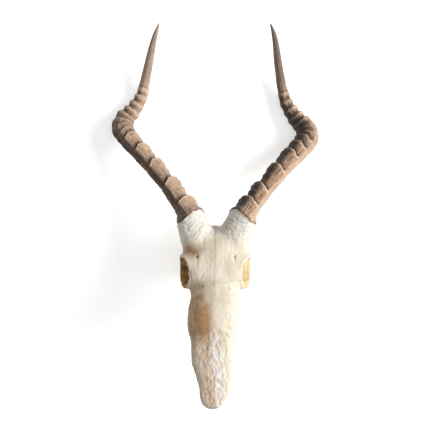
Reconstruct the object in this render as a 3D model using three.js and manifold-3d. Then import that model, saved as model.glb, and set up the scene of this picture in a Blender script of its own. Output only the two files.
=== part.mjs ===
// Impala skull with both horns, without its lower jaw, lying on the back of the head and the horns.
// Units are millimetres. Looking down on the face with the horns at the top, +X is to the right, +Y runs
// from the nose to the horn tips and +Z is up, out of the forehead. Left and right are the viewer's.
// The origin is the middle of the bounding box, on the ground.
// The sizes below are measured from the valley between the two pedicles, on the forehead's surface.
import * as THREE from "three";
import { LoftGeometry } from "three/addons/geometries/LoftGeometry.js";
import { mergeVertices } from "three/addons/utils/BufferGeometryUtils.js";
import Module from "manifold-3d";

// ---- driving dimensions ----------------------------------------------------------------------

const GAP = 0.3; // clearance between touching pieces
const REST_DEPTH = 103; // forehead surface above the ground
const FACE_TILT = THREE.MathUtils.degToRad(29); // the face rises this much towards the nose
const RING_SIDES = 16; // facets round a horn
const SKULL_SIDES = 24; // facets round the skull

// The horns: centreline points [x, y, z] from the seat on the pedicle to the tip, the radius there, how
// far its pedicle leans out, and the distance of each ring's rim from the seat.
const LEFT_HORN = {
  name: "left_horn",
  medial: 1,
  flare: 0,
  centreline: [
    [-34.5, 15, -11.5], [-51.5, 37.5, -24], [-69.5, 61.5, -33], [-90, 85.5, -44], [-112.5, 110.5, -57],
    [-134, 134, -71], [-145.5, 152.5, -81], [-142.5, 168, -87.5], [-130, 183.5, -90.5],
    [-120.5, 198, -91], [-115, 212, -90], [-109.5, 233, -84], [-103.5, 256, -75], [-97.5, 276.5, -64],
    [-91.5, 293.5, -54], [-85, 307.5, -45],
  ],
  radii: [17.6, 14.8, 13.2, 13, 13.4, 14.4, 16.6, 14.8, 11.6, 9.8, 8.6, 7.4, 6.4, 5.2, 3.5, 0.8],
  rims: [28, 67, 106, 143, 176, 197, 210, 223, 236, 250, 263, 275],
};
const RIGHT_HORN = {
  name: "right_horn",
  medial: -1,
  flare: 2,
  centreline: [
    [38.5, 14.5, -12], [55, 34, -24], [71, 54, -33], [89.5, 74.5, -44], [108.5, 96, -57],
    [129, 117, -70], [144, 137.5, -80], [142, 153.5, -85.3], [130, 167.5, -89],
    [119.5, 181.5, -89.5], [112, 195.5, -90], [106.5, 214.5, -89], [101.5, 236, -83], [97, 259, -74],
    [93, 279, -62], [88.5, 295, -52], [83, 307, -45],
  ],
  radii: [17.6, 15, 13.6, 13.8, 14.4, 15.6, 17.2, 15.6, 13, 10.8, 9.3, 7.7, 6.8, 6, 4.8, 3.3, 0.8],
  rims: [29, 65, 100, 134, 165, 184, 197, 210, 223, 236, 249, 262],
};
const HORN_OVAL = 1.08; // front-to-back radius over side-to-side radius
const RIM_HEIGHT = 3.4; // how far the lowest rims stand proud
const RIM_FADE = 277; // along the horn, where the rims have died away
const RIM_LIP = 1.8; // length of the undercut after a rim
const ELBOW = [157, 222]; // along the horn, where the rings turn from its inner to its outer face
const RING_FACE = [30, 115]; // degrees from the inner side that the rings face, before and after it
const SMOOTH_STEPS = 7; // sections along the smooth tip

// The horn core and the socket in the sheath that slips over it.
const CORE_LENGTH = 46;
const CORE_RADIUS = [12.6, 6.5]; // at the seat and at its end
const SHOULDER = 2; // the pedicle stands out this far round the sheath
const PEDICLE = [
  // [distance from the midline, y, z, side-to-side radius, front-to-back radius]
  [19, -62, -24, 17, 15],
  [22.5, -47, -13, 23, 19],
  [25, -31, -10, 26.5, 20.5],
  [26.5, -16, -12, 26.2, 20],
  [31.3, -5, -12.5, 24.6, 20],
  [35, 6, -12.5, 23, 20],
];

// The head, in the face's own frame: y along the forehead line and the nose, z out of the face.
// [y, half width, top, bottom, roundness of the top, width of the underside over the half width,
//  sideways offset of the dried nose]
const HEAD = [
  [27, 14, -52, -76, 0.5, 0.8, 0],
  [24, 24, -40, -96, 0.5, 0.8, 0],
  [15, 31, -25, -103, 0.55, 0.7, 0],
  [0, 34, -12, -103, 0.6, 0.65, 0],
  [-16, 35, -4, -99, 0.7, 0.55, 0],
  [-34, 36, -1, -88, 0.8, 0.45, 0],
  [-50, 37.5, -1.5, -76, 0.85, 0.4, 0],
  [-66, 37, -3, -76, 0.85, 0.55, 0],
  [-78, 35.5, -2.5, -79.5, 0.8, 0.85, 0],
  [-90, 34, -1, -74.5, 0.7, 0.95, 0],
  [-104, 34.8, 2.5, -67.5, 0.65, 0.95, -0.5],
  [-117, 36, 5, -61, 0.62, 0.9, -1.5],
  [-130, 36.4, 7, -54.5, 0.62, 0.82, -2],
  [-142, 35.6, 8.5, -48.5, 0.62, 0.75, -2.5],
  [-152, 34, 9, -43, 0.62, 0.62, -2.5],
  [-161, 31.2, 6.5, -37.5, 0.66, 0.62, -2.5],
  [-170, 28.8, 4, -33.5, 0.66, 0.65, -3.5],
  [-182, 27.6, 2.5, -29, 0.66, 0.7, -4.5],
  [-197, 26.6, 1, -25, 0.66, 0.75, -4],
  [-212, 23.8, 0, -22, 0.66, 0.78, -1.8],
  [-227, 20.8, -1, -20, 0.64, 0.8, -0.2],
  [-239, 17.5, -2, -18, 0.6, 0.8, -2],
  [-248, 13, -3, -16, 0.6, 0.8, -3.5],
  [-253.5, 6.5, -5.5, -13, 0.6, 0.8, -3.5],
];

const UNDERSIDE_ROUND = 0.7; // roundness of the underside, 1 is an ellipse and less is squarer

// The bony funnel round each eye, on the side of the head, and the socket inside it.
const ORBIT = { y: -58, z: -26, root: 16, rootScale: 0.72 };
// Distance of the rim from the midline, every 30 degrees from the back of the eye over its top.
const ORBIT_RIM = [51, 53, 46, 39, 37, 37.5, 40.5, 46, 50.5, 51.5, 51.5, 51];
const ORBIT_OUTSIDE = [25.5, 22.5]; // radii along the head and up
const ORBIT_INSIDE = [20.5, 18];
const ORBIT_SIDES = 24;
// The cheek bar runs back from the ring to the ear.
const CHEEK_BAR = [
  [45, -66, -46], [47.5, -46, -47], [46, -26, -54], [32, -8, -66],
];
const CHEEK_BAR_RADII = [5.5, 4.6, 7];

// Underside and back of the head: [x, y, z], then the half sizes. Each has a twin across the midline.
const CONDYLE = { at: [13, 11, -99], half: [10.5, 9.5, 11] };
const EAR_CAPSULE = { at: [18, -22, -93], half: [9.5, 14, 12] };
const PAROCCIPITAL = { from: [27, 1, -92], to: [29, -12.6, -126.5], radii: [10, 7.5, 4.2] };
const SPINAL_HOLE = { at: [0, 26, -92], half: [8.5, 12, 8.5] };
const NOSE_PASSAGE = { at: [0, -52, -80], half: [9, 22, 17] };
const BROW_HOLES = [
  [-26.5, -45, -1.5],
  [27, -45.4, -1.5],
];
const BROW_HOLE_RADIUS = 1.9;

// Upper cheek teeth, from the first premolar to the last molar: [length, width, crown height].
const TEETH = [
  [7.5, 6.5, 5.5],
  [9, 8, 6],
  [9.5, 9.5, 6.5],
  [11.5, 11, 7],
  [13.5, 12, 7.5],
  [13.5, 12, 7.5],
];
const TOOTH_ROW = { front: [18.5, -144.5, -47.4], back: [26, -80.5, -79.4] }; // gum line
const TOOTH_ROOT = 6; // depth of a root in its socket
const TOOTH_SIDES = 8;
const PALATE = { depth: 7.5, front: [12.5, -152], back: [18.5, -76] }; // half width and y at its ends

// ---- materials -------------------------------------------------------------------------------

const boneMaterial = new THREE.MeshStandardMaterial({ color: 0xe9dfc9, roughness: 0.75, metalness: 0 });
const hornMaterial = new THREE.MeshStandardMaterial({ color: 0x8d6e5b, roughness: 0.6, metalness: 0 });
const toothMaterial = new THREE.MeshStandardMaterial({ color: 0xd9c8a0, roughness: 0.35, metalness: 0 });

// ---- solids ----------------------------------------------------------------------------------

const wasm = await Module();
wasm.setup();

const X_AXIS = new THREE.Vector3(1, 0, 0);
const UP = new THREE.Vector3(0, 0, 1);

function solidFrom(geometry) {
  const bare = new THREE.BufferGeometry();
  bare.setAttribute("position", geometry.getAttribute("position"));
  bare.setIndex(geometry.getIndex());
  const merged = mergeVertices(bare, 1e-4);
  return new wasm.Manifold(
    new wasm.Mesh({
      numProp: 3,
      vertProperties: new Float32Array(merged.attributes.position.array),
      triVerts: new Uint32Array(merged.index.array),
    }),
  );
}

function meshFrom(solid, name, material) {
  const made = solid.getMesh();
  const geometry = new THREE.BufferGeometry();
  geometry.setAttribute("position", new THREE.BufferAttribute(made.vertProperties, 3));
  geometry.setIndex(new THREE.BufferAttribute(made.triVerts, 1));
  geometry.computeVertexNormals();
  const mesh = new THREE.Mesh(geometry, material);
  mesh.name = name;
  return mesh;
}

// A closed skin over cross sections, whichever way round their points run.
function loft(sections) {
  const [first, second] = sections;
  const centre = middleOf(first);
  const onward = middleOf(second).sub(centre);
  const normal = new THREE.Vector3();
  first.forEach((point, i) => {
    const spoke = point.clone().sub(centre);
    const next = first[(i + 1) % first.length].clone().sub(centre);
    normal.add(spoke.cross(next));
  });
  const wound = normal.dot(onward) > 0 ? sections : sections.map((points) => [...points].reverse());
  return new LoftGeometry(wound, { capStart: true, capEnd: true });
}

function middleOf(points) {
  const sum = points.reduce((total, point) => total.add(point), new THREE.Vector3());
  return sum.divideScalar(points.length);
}

function ellipsoid({ at, half }, side, columns, rows) {
  const geometry = new THREE.SphereGeometry(1, columns, rows);
  geometry.scale(half[0], half[1], half[2]);
  geometry.translate(at[0] * side, at[1], at[2]);
  return geometry;
}

function vector(point, side = 1) {
  return new THREE.Vector3(point[0] * side, point[1], point[2]);
}

// Value of a list that is spread evenly over 0 to 1.
function along(list, u) {
  const place = THREE.MathUtils.clamp(u, 0, 1) * (list.length - 1);
  const first = Math.min(Math.floor(place), list.length - 2);
  return THREE.MathUtils.lerp(list[first], list[first + 1], place - first);
}

// The same for a list that closes on itself.
function around(list, u) {
  return along([...list, list[0]], u);
}

// A round bar through points, with a radius at each end of the list and between.
function bar(points, radii, sides = 10) {
  const curve = new THREE.CatmullRomCurve3(points, false, "centripetal");
  const steps = points.length * 2;
  const sections = [];
  for (let i = 0; i <= steps; i++) {
    const u = i / steps;
    const tangent = curve.getTangent(u);
    const across = new THREE.Vector3().crossVectors(UP, tangent);
    if (across.lengthSq() < 0.01) across.crossVectors(X_AXIS, tangent);
    across.normalize();
    const over = new THREE.Vector3().crossVectors(tangent, across);
    const centre = curve.getPoint(u);
    const radius = along(radii, u);
    sections.push(ring(centre, across, over, () => [radius, radius], sides));
  }
  return loft(sections);
}

// A closed ring of points; reach(angle) gives the radius along each of its two axes.
function ring(centre, axisA, axisB, reach, sides) {
  const points = [];
  for (let i = 0; i < sides; i++) {
    const angle = (i / sides) * Math.PI * 2;
    const [a, b] = reach(angle);
    points.push(
      centre
        .clone()
        .addScaledVector(axisA, Math.cos(angle) * a)
        .addScaledVector(axisB, Math.sin(angle) * b),
    );
  }
  return points;
}

// How far a rounded square reaches past a circle; 0 is the circle and 1 the square.
function squareness(angle, amount) {
  return 1 / Math.max(Math.abs(Math.cos(angle)), Math.abs(Math.sin(angle))) ** amount;
}

// ---- horns -----------------------------------------------------------------------------------

// The frame of a horn at a distance from its seat: centre, tangent, side and front directions.
function hornFrame(horn, distance) {
  const total = horn.curve.getLength();
  const u = THREE.MathUtils.clamp(distance / total, 0, 1);
  const tangent = horn.curve.getTangentAt(u);
  const front = UP.clone().addScaledVector(tangent, -UP.dot(tangent)).normalize();
  const side = new THREE.Vector3().crossVectors(front, tangent);
  return { centre: horn.curve.getPointAt(u), tangent, side, front };
}

function hornRadius(horn, distance) {
  const u = horn.curve.getUtoTmapping(distance / horn.curve.getLength());
  return along(horn.radii, u);
}

// Height of the overlapping growth rings at a distance from the seat.
function ringRelief(horn, distance) {
  const next = horn.rims.find((rim) => rim >= distance - 1e-6);
  if (next === undefined) return 0;
  const before = horn.rims.filter((rim) => rim < distance - 1e-6).pop() ?? 0;
  const start = before + RIM_LIP;
  const rise = THREE.MathUtils.clamp((distance - start) / (next - start), 0, 1);
  const height = RIM_HEIGHT * Math.min(1, 1.15 - before / RIM_FADE);
  return height * (1.2 * rise - 0.3);
}

// The rings stand out on the front and inner faces low down, and on the outer face past the elbow.
function ringWeight(horn, distance, angle) {
  const medial = -Math.cos(angle) * horn.medial;
  const turn = THREE.MathUtils.smoothstep(distance, ...ELBOW);
  const focus = THREE.MathUtils.degToRad(THREE.MathUtils.lerp(...RING_FACE, turn));
  const facing = medial * Math.cos(focus) + Math.sin(angle) * Math.sin(focus);
  return THREE.MathUtils.clamp(0.55 + 0.8 * facing, 0.35 * turn, 1);
}

function hornSection(horn, distance) {
  const { centre, side, front } = hornFrame(horn, distance);
  const radius = hornRadius(horn, distance);
  const relief = ringRelief(horn, distance);
  return ring(
    centre,
    side,
    front,
    (angle) => {
      const raised = relief * ringWeight(horn, distance, angle);
      return [radius + raised, radius * HORN_OVAL + raised];
    },
    RING_SIDES,
  );
}

function hornSheath(horn) {
  const total = horn.curve.getLength();
  const stations = [0];
  let before = 0;
  for (const rim of horn.rims) {
    stations.push((before + rim) / 2, rim, rim + RIM_LIP);
    before = rim;
  }
  const start = before + RIM_LIP;
  for (let i = 1; i <= SMOOTH_STEPS; i++) {
    stations.push(start + ((total - start) * i) / SMOOTH_STEPS);
  }
  return solidFrom(loft(stations.map((distance) => hornSection(horn, distance))));
}

// The bony core, and with a gap added the socket that it fills.
function coreSections(horn, gap) {
  const steps = 4;
  const sections = [];
  for (let i = 0; i <= steps; i++) {
    const distance = (i / steps) * (CORE_LENGTH + 2 * gap);
    const { centre, side, front } = hornFrame(horn, distance);
    const radius = along(CORE_RADIUS, i / steps) + gap;
    sections.push(ring(centre, side, front, () => [radius, radius * HORN_OVAL], RING_SIDES));
  }
  return sections;
}

function socket(horn) {
  const sections = coreSections(horn, GAP);
  const { tangent } = hornFrame(horn, 0);
  const mouth = sections[0].map((point) => point.clone().addScaledVector(tangent, -2));
  return solidFrom(loft([mouth, ...sections]));
}

// The pedicle rises out of the forehead, ends in a shoulder for the sheath, and carries the core.
function pedicle(horn) {
  const { centre, tangent, side, front } = hornFrame(horn, 0);
  const sections = PEDICLE.map(([x, y, z, across, through]) =>
    ring(
      new THREE.Vector3(-horn.medial * (x + horn.flare), y, z),
      side,
      front,
      () => [across, through],
      RING_SIDES,
    ),
  );
  const seat = centre.clone().addScaledVector(tangent, -GAP);
  const shoulder = horn.radii[0] + SHOULDER;
  sections.push(ring(seat, side, front, () => [shoulder, shoulder * HORN_OVAL], RING_SIDES));
  const [root, ...rest] = coreSections(horn, 0);
  sections.push(root.map((point) => point.clone().addScaledVector(tangent, -GAP)), ...rest);
  return solidFrom(loft(sections));
}

// ---- head ------------------------------------------------------------------------------------

// A cross section of the head: a rounded box, narrower below.
function headSection([y, halfWidth, top, bottom, topRound, underside, offset]) {
  const middle = (top + bottom) / 2;
  const halfHeight = (top - bottom) / 2;
  const points = [];
  for (let i = 0; i < SKULL_SIDES; i++) {
    const angle = (i / SKULL_SIDES) * Math.PI * 2;
    const cos = Math.cos(angle);
    const sin = Math.sin(angle);
    const round = sin > 0 ? topRound : UNDERSIDE_ROUND;
    const across = Math.sign(cos) * Math.abs(cos) ** round;
    const height = Math.sign(sin) * Math.abs(sin) ** round;
    const narrow = 1 - (1 - underside) * Math.max(0, -height) ** 0.8;
    points.push(
      new THREE.Vector3(offset + across * halfWidth * narrow, y, middle + height * halfHeight),
    );
  }
  return points;
}

// A funnel from inside the head out to the rim of the eye, or past it.
function eyeFunnel(side, [radiusY, radiusZ], past) {
  const depths = [0, 0.5, 0.85, 1];
  const sections = depths.map((depth) => {
    const points = [];
    const spread = THREE.MathUtils.lerp(ORBIT.rootScale, 1, depth ** 0.6);
    for (let i = 0; i < ORBIT_SIDES; i++) {
      const angle = (i / ORBIT_SIDES) * Math.PI * 2;
      const rim = around(ORBIT_RIM, i / ORBIT_SIDES) + past;
      const x = THREE.MathUtils.lerp(ORBIT.root + past, rim, depth);
      const y = ORBIT.y + Math.cos(angle) * radiusY * spread;
      const z = ORBIT.z + Math.sin(angle) * radiusZ * spread;
      points.push(new THREE.Vector3(side * x, y, z));
    }
    return points;
  });
  return solidFrom(loft(sections));
}

function paroccipital(side) {
  const from = vector(PAROCCIPITAL.from, side);
  const to = vector(PAROCCIPITAL.to, side);
  const middle = from.clone().lerp(to, 0.5);
  return solidFrom(bar([from, middle, to], PAROCCIPITAL.radii, 10));
}

// Places along a tooth row, with the direction towards the crowns.
function toothFrame(side) {
  const front = vector(TOOTH_ROW.front, side);
  const back = vector(TOOTH_ROW.back, side);
  const run = back.clone().sub(front);
  const forward = run.clone().normalize();
  const cheekward = X_AXIS.clone().multiplyScalar(side);
  const down = new THREE.Vector3().crossVectors(forward, cheekward).normalize();
  if (down.z > 0) down.negate();
  cheekward.addScaledVector(forward, -cheekward.dot(forward)).normalize();
  return { front, run, forward, cheekward, down };
}

function toothSections(side, index, gap) {
  const frame = toothFrame(side);
  const lengths = TEETH.map(([length]) => length);
  const total = lengths.reduce((sum, length) => sum + length, 0);
  const passed = lengths.slice(0, index).reduce((sum, length) => sum + length, 0);
  const scale = frame.run.length() / total;
  const [length, width, crown] = TEETH[index];
  const centre = frame.front.clone().addScaledVector(frame.forward, (passed + length / 2) * scale);
  const halfLength = (length * scale) / 2 - GAP + gap / 2;
  const halfWidth = width / 2 - GAP + gap;
  const levels = [
    // [height below the gum line, scale across]
    [-TOOTH_ROOT - gap, 0.72],
    [0, 0.95],
    [crown * 0.5, 1],
    [crown, 0.86],
  ];
  return levels.map(([below, scaleAcross]) => {
    const middle = centre.clone().addScaledVector(frame.down, below);
    return ring(
      middle,
      frame.forward,
      frame.cheekward,
      (angle) => {
        const square = squareness(angle, 0.6) * scaleAcross;
        return [Math.min(halfLength, halfLength * square), halfWidth * square];
      },
      TOOTH_SIDES,
    );
  });
}

function palateTrough() {
  const slope = (TOOTH_ROW.back[2] - TOOTH_ROW.front[2]) / (TOOTH_ROW.back[1] - TOOTH_ROW.front[1]);
  const sections = [PALATE.front, PALATE.back].map(([halfWidth, y]) => {
    const gum = TOOTH_ROW.front[2] + (y - TOOTH_ROW.front[1]) * slope;
    const centre = new THREE.Vector3(0, y, gum - PALATE.depth * 0.4);
    return ring(
      centre,
      X_AXIS,
      UP,
      (angle) => {
        const square = squareness(angle, 0.5);
        return [halfWidth * square, PALATE.depth * 1.35 * square];
      },
      12,
    );
  });
  return solidFrom(loft(sections));
}

function head() {
  let body = solidFrom(loft(HEAD.map(headSection)));
  for (const side of [-1, 1]) {
    body = body.add(eyeFunnel(side, ORBIT_OUTSIDE, 0));
    const cheek = CHEEK_BAR.map((point) => vector(point, side));
    body = body.add(solidFrom(bar(cheek, CHEEK_BAR_RADII, 8)));
    body = body.subtract(eyeFunnel(side, ORBIT_INSIDE, 3));
    body = body.add(solidFrom(ellipsoid(CONDYLE, side, 12, 8)));
    body = body.add(solidFrom(ellipsoid(EAR_CAPSULE, side, 12, 7)));
    body = body.add(paroccipital(side));
  }
  body = body.subtract(solidFrom(ellipsoid(SPINAL_HOLE, 1, 12, 8)));
  body = body.subtract(solidFrom(ellipsoid(NOSE_PASSAGE, 1, 12, 8)));
  body = body.subtract(palateTrough());
  for (const [x, y, z] of BROW_HOLES) {
    const pit = new THREE.CylinderGeometry(BROW_HOLE_RADIUS, BROW_HOLE_RADIUS * 0.6, 7, 6);
    pit.rotateX(Math.PI / 2);
    pit.translate(x, y, z);
    body = body.subtract(solidFrom(pit));
  }
  return body;
}

// ---- assembly --------------------------------------------------------------------------------

function tilted(solid) {
  return solid.rotate([-THREE.MathUtils.radToDeg(FACE_TILT), 0, 0]);
}

// Everything below the ground plane is worn off flat.
function grounded(solid) {
  const slab = new THREE.BoxGeometry(1000, 1000, 60);
  slab.translate(0, 0, -REST_DEPTH - 30);
  return solid.subtract(solidFrom(slab));
}

const model = new THREE.Group();
const horns = [LEFT_HORN, RIGHT_HORN];
let skull = head();
const teeth = [];
for (const [side, sideName] of [
  [-1, "left"],
  [1, "right"],
]) {
  TEETH.forEach((size, index) => {
    skull = skull.subtract(solidFrom(loft(toothSections(side, index, GAP))));
    teeth.push([`${sideName}_tooth_${index + 1}`, solidFrom(loft(toothSections(side, index, 0)))]);
  });
}
skull = tilted(skull);
for (const horn of horns) {
  const points = horn.centreline.map((point) => vector(point));
  horn.curve = new THREE.CatmullRomCurve3(points, false, "centripetal");
  horn.curve.arcLengthDivisions = 400;
  skull = skull.add(pedicle(horn));
}
model.add(meshFrom(grounded(skull), "skull", boneMaterial));
for (const horn of horns) {
  const sheath = grounded(hornSheath(horn).subtract(socket(horn)));
  model.add(meshFrom(sheath, horn.name, hornMaterial));
}
for (const [name, tooth] of teeth) {
  model.add(meshFrom(tilted(tooth), name, toothMaterial));
}

// The footprint's centre becomes the origin, with the ground at z = 0.
const bounds = new THREE.Box3().setFromObject(model, true);
const middle = bounds.getCenter(new THREE.Vector3());
model.position.set(-middle.x, -middle.y, -bounds.min.z);
const group = new THREE.Group();
group.add(model);
group.updateMatrixWorld(true);

export default group;
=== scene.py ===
"""Impala skull with both horns: finished bone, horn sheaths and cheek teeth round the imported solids.

Lengths are in millimetres until a mesh is made. The valley between the two pedicles, on the forehead's
surface, is the point that every place below is measured from: +X right, +Y towards the horn tips, +Z up.
"""

import math

import bpy
import numpy as np
from bpy.props import FloatProperty, FloatVectorProperty, IntProperty, PointerProperty
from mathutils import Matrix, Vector, noise
from mathutils.bvhtree import BVHTree


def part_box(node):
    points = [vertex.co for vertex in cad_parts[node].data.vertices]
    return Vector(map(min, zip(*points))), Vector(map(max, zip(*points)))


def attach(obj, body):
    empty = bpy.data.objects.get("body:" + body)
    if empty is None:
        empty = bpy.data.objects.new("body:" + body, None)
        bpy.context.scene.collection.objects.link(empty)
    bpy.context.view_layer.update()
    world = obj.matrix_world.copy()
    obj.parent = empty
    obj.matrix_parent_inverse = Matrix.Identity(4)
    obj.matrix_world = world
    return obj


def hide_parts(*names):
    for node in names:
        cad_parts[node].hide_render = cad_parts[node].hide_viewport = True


bl_info = {
    "name": "Impala Skull",
    "version": (1, 0, 0),
    "blender": (4, 5, 0),
    "location": "View3D > Sidebar > Skull",
    "description": "Bleached impala skull with ringed horns and cheek teeth",
    "category": "Add Mesh",
}

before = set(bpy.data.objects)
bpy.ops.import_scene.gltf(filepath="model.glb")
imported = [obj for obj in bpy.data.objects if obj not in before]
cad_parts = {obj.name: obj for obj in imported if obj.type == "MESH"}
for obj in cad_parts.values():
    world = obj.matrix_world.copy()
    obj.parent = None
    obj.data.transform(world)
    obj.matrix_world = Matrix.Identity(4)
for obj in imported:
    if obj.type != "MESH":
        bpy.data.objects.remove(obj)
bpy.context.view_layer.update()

MM = 0.001
NOSE_REACH = 228.0  # from the valley to the tip of the nose
REST_DEPTH = 103.0  # forehead surface above the ground
FACE_TILT = math.radians(29)  # the face rises this much towards the nose
MIDLINE = (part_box("left_tooth_6")[0].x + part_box("right_tooth_6")[1].x) / 2
VALLEY = Vector((MIDLINE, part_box("skull")[0].y + NOSE_REACH * MM, REST_DEPTH * MM))

# The horns: centreline points, the radius at each, and each ring's rim by distance from the seat.
# The darkening table is painted shade on the faces turned from the light, with a darker tip on the right
# horn;
# the pale table lightens the horn, partly as wear and partly as painted light on the faces turned to the
# light.
# Wrap says how far round the rings reach in degrees, and the strip figure how far the lateral strip between
# their ends is darkened, partly as old dark horn and partly, most on the left horn, as painted shade.
HORNS = {
    "left_horn": {
        "medial": 1,
        "shade_and_grime": {"outer": 0.66, "inner": 0.0, "elbow": 0.25, "bend": 0.8, "tip": 0.0},
        "pale": {"low": 0.28, "strip": 0.0, "upper": 0.46, "tip": 0.24},
        "wrap": 102,
        "bare": 1.0,
        "centreline": [
            (-34.5, 15, -11.5), (-51.5, 37.5, -24), (-69.5, 61.5, -33), (-90, 85.5, -44),
            (-112.5, 110.5, -57), (-134, 134, -71), (-145.5, 152.5, -81), (-142.5, 168, -87.5),
            (-130, 183.5, -90.5), (-120.5, 198, -91), (-115, 212, -90), (-109.5, 233, -84),
            (-103.5, 256, -75), (-97.5, 276.5, -64), (-91.5, 293.5, -54), (-85, 307.5, -45),
        ],
        "radii": [17.6, 14.8, 13.2, 13, 13.4, 14.4, 16.6, 14.8, 11.6, 9.8, 8.6, 7.4, 6.4, 5.2, 3.5, 0.8],
        "rims": [25, 65, 104, 139, 167, 180, 192, 204, 216.5, 229.5, 243, 257, 271],
    },
    "right_horn": {
        "medial": -1,
        "shade_and_grime": {"outer": 0.0, "inner": 1.1, "elbow": 1.1, "bend": 0.0, "tip": 0.42},
        "pale": {"low": 0.04, "strip": 0.5, "upper": 0.15, "tip": 0.0},
        "wrap": 117,
        "bare": 0.25,
        "centreline": [
            (38.5, 14.5, -12), (55, 34, -24), (71, 54, -33), (89.5, 74.5, -44), (108.5, 96, -57),
            (129, 117, -70), (144, 137.5, -80), (142, 153.5, -85.3), (130, 167.5, -89),
            (119.5, 181.5, -89.5), (112, 195.5, -90), (106.5, 214.5, -89), (101.5, 236, -83),
            (97, 259, -74), (93, 279, -62), (88.5, 295, -52), (83, 307, -45),
        ],
        "radii": [17.6, 15, 13.6, 13.8, 14.4, 15.6, 17.2, 15.6, 13, 10.8, 9.3, 7.7, 6.8, 6, 4.8, 3.3, 0.8],
        "rims": [26, 56, 98, 132, 153, 170, 184, 197, 210, 223, 237, 251, 265],
    },
}
HORN_OVAL = 1.08  # front-to-back radius over the sideways one
RIM_FADE = 277.0  # the rings' height fades towards this distance
ELBOW = (157.0, 222.0)  # where the rings turn from the inner to the outer face
CORE_LENGTH = 46.0
CORE_RADIUS = (12.6, 6.5)  # at the seat and at the core's tip
CORE_GAP = 0.3
EYE_CENTRE = (-58, -26)  # along the face and out of it
EYE_OPENING = (20.5, 18)  # half its length and half its height
GROUND_GAP = 0.02

# Upper cheek teeth from the first premolar back: length, width, crown height.
TEETH = [(7.5, 6.5, 5.5), (9, 8, 6), (9.5, 9.5, 6.5), (11.5, 11, 7), (13.5, 12, 7.5), (13.5, 12, 7.5)]
TOOTH_ROW = {"front": (18.5, -144.5, -47.4), "back": (26, -80.5, -79.4)}  # gum line, in the face's frame
TOOTH_ROOT = 6.0
TOOTH_SIDES = 72
SIDES = (("left", -1), ("right", 1))
SQUARE = ((-1, -1), (1, -1), (1, 1), (-1, 1))


# ---- sizes and colours a user would change ---------------------------------------------------

def colour(name, description, default):
    return FloatVectorProperty(
        name=name, description=description, default=default, subtype="COLOR", size=3, min=0, max=1
    )


def length(name, description, default):
    return FloatProperty(name=name, description=description, default=default, unit="LENGTH", min=0)


class BoneSettings(bpy.types.PropertyGroup):
    grain: length("Mesh Grain", "Edge length of the bone's mesh", 0.00121)
    wrinkles: length("Wrinkle Depth", "Depth of the dried skin's wrinkles on the pedicles", 0.0009)
    fibres: length("Fibre Height", "Height of the dried fibres on the muzzle", 0.0009)
    cream: colour("Bone", "Clean bleached bone", (0.76, 0.69, 0.565))
    white: colour("Bleached White", "Chalky bone on pedicles and nose", (0.775, 0.765, 0.725))
    stain: colour("Stain", "Brown stain on the side of the face", (0.37, 0.216, 0.10))
    # The two socket colours are shaded and lit copies of one bone: painted shade in the left socket,
    # painted light in the right.
    shaded_socket: colour("Dark Socket", "Dried tissue in the left eye socket", (0.44, 0.25, 0.075))
    lit_socket: colour("Yellow Socket", "Oily bone in the right eye socket", (0.72, 0.61, 0.41))


class HornSettings(bpy.types.PropertyGroup):
    steps: IntProperty(name="Steps", description="Sections along a horn", default=620, min=100)
    sides: IntProperty(name="Sides", description="Points round a horn", default=116, min=24)
    rim_height: length("Rim Height", "How far the lowest rings stand proud", 0.0040)
    striation: length("Striation Depth", "Depth of the lengthwise grooves", 0.0005)
    light: colour("Horn", "Dry worn horn on the rings", (0.41, 0.24, 0.136))
    dark: colour("Dark Horn", "Horn in the grooves and on the outer face", (0.085, 0.045, 0.026))
    rim: colour("Rim", "Pale worn edge of each ring", (0.80, 0.61, 0.45))
    tip: colour("Tip", "Smooth grey-brown tip", (0.285, 0.205, 0.172))


class ToothSettings(bpy.types.PropertyGroup):
    enamel: colour("Enamel", "Clean enamel", (0.78, 0.70, 0.55))
    tartar: colour("Stain", "Dark stain between the ridges", (0.17, 0.09, 0.04))
    ridge: length("Ridge Height", "Height of the crescent ridges on the chewing face", 0.0012)


class StageSettings(bpy.types.PropertyGroup):
    floor: colour("Floor", "Pale studio floor", (0.93, 0.93, 0.93))
    glow: FloatProperty(name="Floor Glow", description="Light that the floor gives off", default=0.52)
    camera_height: length("Camera Height", "Camera above the forehead", 0.9)
    view_width: length("View Width", "Width of the view at the forehead", 0.62208)
    key: FloatProperty(name="Key Light", description="Power of the key light", default=60, unit="POWER")
    fill: FloatProperty(name="Fill Light", description="Strength of the surrounding light", default=0.26)


# ---- shader maths ----------------------------------------------------------------------------

class Value:
    """A number coming out of a node, which takes part in Python arithmetic."""

    def __init__(self, shader, socket):
        self.shader = shader
        self.socket = socket

    def maths(self, operation, other, swapped=False):
        pair = (other, self) if swapped else (self, other)
        return self.shader.node("ShaderNodeMath", {"operation": operation}, {0: pair[0], 1: pair[1]})

    def __add__(self, other):
        return self.maths("ADD", other)

    def __mul__(self, other):
        return self.maths("MULTIPLY", other)

    def __sub__(self, other):
        return self.maths("SUBTRACT", other)

    def __rsub__(self, other):
        return self.maths("SUBTRACT", other, swapped=True)

    def __pow__(self, other):
        return self.maths("POWER", other)

    __radd__ = __add__
    __rmul__ = __mul__

    def ramp(self, low, high):
        """0 below low, 1 above high and smooth between."""
        return self.shader.node(
            "ShaderNodeMapRange",
            {"interpolation_type": "SMOOTHSTEP"},
            {"Value": self, "From Min": low, "From Max": high},
        )


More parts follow.
